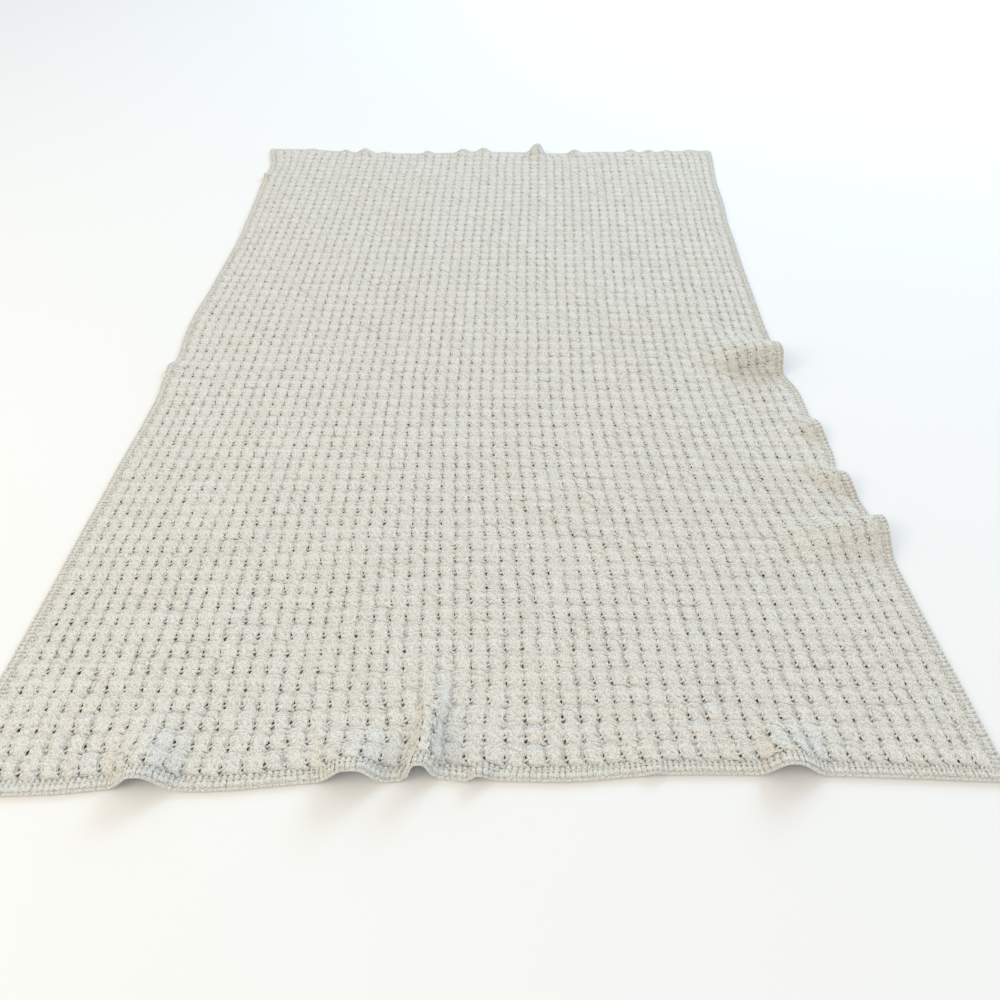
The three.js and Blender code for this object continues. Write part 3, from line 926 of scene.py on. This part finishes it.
# First row and number of rows of each band, counted from the near edge
BANDS = [(0, 17), (17, 17), (34, 17), (51, 18)]
for number, (first_row, band_rows) in enumerate(BANDS, start=1):
    blank = bpy.data.objects.new("band", bpy.data.meshes.new("band"))
    scene.collection.objects.link(blank)
    add_tree(blank, row_tree, {
        "Shells In A Row": SHELL_COLUMNS, "Rows": band_rows, "Shell Width": SHELL_WIDTH * MM,
        "Shell Height": SHELL_HEIGHT * MM,
        "First Row Middle": ((first_row + 0.5) * SHELL_HEIGHT - PANEL_LENGTH / 2) * MM,
        "Kinds": shell_kinds, "Seed": 20 + number, "Turn": 0.08, "Size Spread": 0.06,
        "Yarn": panel_yarn})
    add_tree(blank, lay_tree, lay_values)
    band = finished(blank, f"shell_rows_{number}", True)
    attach(band, "root")

# ---------------------------------------------------------------------------------------
# Edging: a round of upright posts crocheted into the panel's edge and closed by a chain,
# all in the same yarn. It lies as a firm band about 16 mm wide that follows every fold.
POST_SPACING = 6.2
EDGING_GROUND_OVER = 4.1
EDGING_TONE = 0.3
CORNER_RADIUS = 11
SHARPEST_CORNER = 0.4

# Where the edging's own ground starts and ends, in from the rim, and its step along the rim.
# The walk that the posts are stepped along needs far fewer points.
GROUND_IN_FROM = 1.0
GROUND_IN_TO = EDGING_WIDTH - 0.3
GROUND_STEP = 8.0
WALK_STEP = 60.0

# Strands of one step of the edging, towards the panel: mm along, mm in from the rim, height,
# then half the yarn's width and half its thickness in mm
EDGING_STRANDS = {
    "post": [(0.0, 12.6, 4.0, 2.7, 1.5), (0.1, 8.0, 4.4, 3.0, 1.8), (0.0, 3.0, 4.0, 2.6, 1.5)],
    "rim chain": [(-3.0, 2.6, 3.2, 1.5, 1.4), (-0.6, 1.7, 4.2, 1.9, 1.7),
                  (2.2, 2.0, 4.1, 1.9, 1.7), (4.2, 3.2, 3.0, 1.4, 1.3)],
    "inner chain": [(-3.4, 13.6, 4.5, 1.4, 1.2), (0.0, 13.0, 4.9, 1.6, 1.3),
                    (3.4, 13.6, 4.5, 1.4, 1.2)],
    "join": [(0.0, 13.6, 3.8, 2.0, 1.5), (0.3, 16.5, 4.4, 2.3, 1.6), (0.9, 19.0, 3.8, 1.9, 1.4)],
}
EDGING_KINDS = 3

# Spread of the edging's versions: mm along, mm of height, and girth as a share
POST_SHIFT = 0.25
POST_LIFT = 0.15
POST_GIRTH = 0.05

edging_yarn = yarn_material("edging_yarn")


def rim_path(inset, step):
    """Points round the throw, anticlockwise, a given distance in from its rim."""
    radius = max(CORNER_RADIUS - inset, SHARPEST_CORNER)
    corner_x = THROW_WIDTH / 2 - inset - radius
    corner_y = THROW_LENGTH / 2 - inset - radius
    corners = []
    for at_x, at_y, start in ((1, -1, -90), (1, 1, 0), (-1, 1, 90), (-1, -1, 180)):
        turn = np.radians(start + np.array([0, 30, 60, 90]))
        corners.append(np.column_stack([at_x * corner_x + radius * np.cos(turn),
                                        at_y * corner_y + radius * np.sin(turn)]))
    path = []
    sides = (THROW_LENGTH, THROW_WIDTH, THROW_LENGTH, THROW_WIDTH)
    for corner, after, side in zip(corners, corners[1:] + corners[:1], sides):
        parts = round(side / step)
        shares = np.arange(parts)[:, None] / parts
        path += [corner[:-1], corner[-1] + (after[0] - corner[-1]) * shares]
    return np.concatenate(path)


# the ground of the edging: one closed band all the way round
outer_rim = rim_path(GROUND_IN_FROM, GROUND_STEP)
inner_rim = rim_path(GROUND_IN_TO, GROUND_STEP)
n_rim = len(outer_rim)
rim_rings = []
for rim, height in ((outer_rim, GROUND_UNDER), (outer_rim, EDGING_GROUND_OVER),
                    (inner_rim, EDGING_GROUND_OVER), (inner_rim, GROUND_UNDER)):
    rim_rings.append(np.column_stack([rim, np.full(n_rim, height)]))
rim_faces = []
for k in range(n_rim):
    after = (k + 1) % n_rim
    for side in range(4):
        a, b = side * n_rim, (side + 1) % 4 * n_rim
        rim_faces.append((a + k, a + after, b + after, b + k))
rim_mesh = mesh_from("edging_ground", np.concatenate(rim_rings), rim_faces)
note(rim_mesh, "painted_light_level", "FLOAT", "value", np.full(4 * n_rim, 1.0))
note(rim_mesh, "tone", "FLOAT", "value", np.full(4 * n_rim, EDGING_TONE))
flat_map_of(rim_mesh)
rim_flat = bpy.data.objects.new("edging_flat", rim_mesh)
scene.collection.objects.link(rim_flat)
edge_values = dict(lay_values, Yarn=edging_yarn)
add_tree(rim_flat, lay_tree, edge_values)
edging_ground = finished(rim_flat, "edging_ground", False)
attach(edging_ground, "root")
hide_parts("edging")

# the posts and chains, stepped along the rim
edging_kinds = bpy.data.collections.new("edging_kinds")
scene.collection.children.link(edging_kinds)
for kind in range(EDGING_KINDS):
    strands = []
    for table in EDGING_STRANDS.values():
        table = np.array(table)
        table[:, 0] += chance.normal(0, POST_SHIFT)
        table[:, 2] += chance.normal(0, POST_LIFT)
        table[:, 3:] *= chance.normal(1, POST_GIRTH)
        strands.append(table)
    stitch_object(f"edging_kind_{kind + 1}", strands, edging_kinds)

# Tree that walks round the rim and puts a post with its chains at every step
edge_tree, given, result = new_tree("round_of_posts", [
    ("Post Spacing", "Float"), ("Kinds", "Collection"), ("Seed", "Int"), ("Size Spread", "Float"),
    ("Yarn", "Material")])
link = edge_tree.links.new
to_curve = edge_tree.nodes.new("GeometryNodeMeshToCurve")
link(given.outputs["Geometry"], to_curve.inputs["Mesh"])
steps = edge_tree.nodes.new("GeometryNodeCurveToPoints")
steps.mode = "LENGTH"
link(to_curve.outputs["Curve"], steps.inputs["Curve"])
link(given.outputs["Post Spacing"], steps.inputs["Length"])
heading = edge_tree.nodes.new("FunctionNodeAxesToRotation")
heading.primary_axis = "X"
heading.secondary_axis = "Z"
heading.inputs["Secondary Axis"].default_value = (0, 0, 1)
link(steps.outputs["Tangent"], heading.inputs["Primary Axis"])
posts = put_stitches(edge_tree, given, steps.outputs["Points"], EDGING_KINDS - 1,
                     heading.outputs["Rotation"], 1)
end_tree(edge_tree, given, result, posts)

rim_line = rim_path(0.0, WALK_STEP)
line_mesh = bpy.data.meshes.new("rim_line")
line_mesh.from_pydata([(x * MM, y * MM, 0) for x, y in rim_line],
                      [(k, (k + 1) % len(rim_line)) for k in range(len(rim_line))], [])
rim_walk = bpy.data.objects.new("rim_line", line_mesh)
scene.collection.objects.link(rim_walk)
add_tree(rim_walk, edge_tree, {
    "Post Spacing": POST_SPACING * MM, "Kinds": edging_kinds, "Seed": 5, "Size Spread": 0.04,
    "Yarn": edging_yarn})
add_tree(rim_walk, lay_tree, edge_values)
edging_posts = finished(rim_walk, "edging_posts", True)
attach(edging_posts, "root")

# The patterns the pieces were worked from are put away
for pattern in [laid_cloth, *shell_kinds.objects, *edging_kinds.objects]:
    bpy.data.objects.remove(pattern)
for drawer in (shell_kinds, edging_kinds):
    bpy.data.collections.remove(drawer)
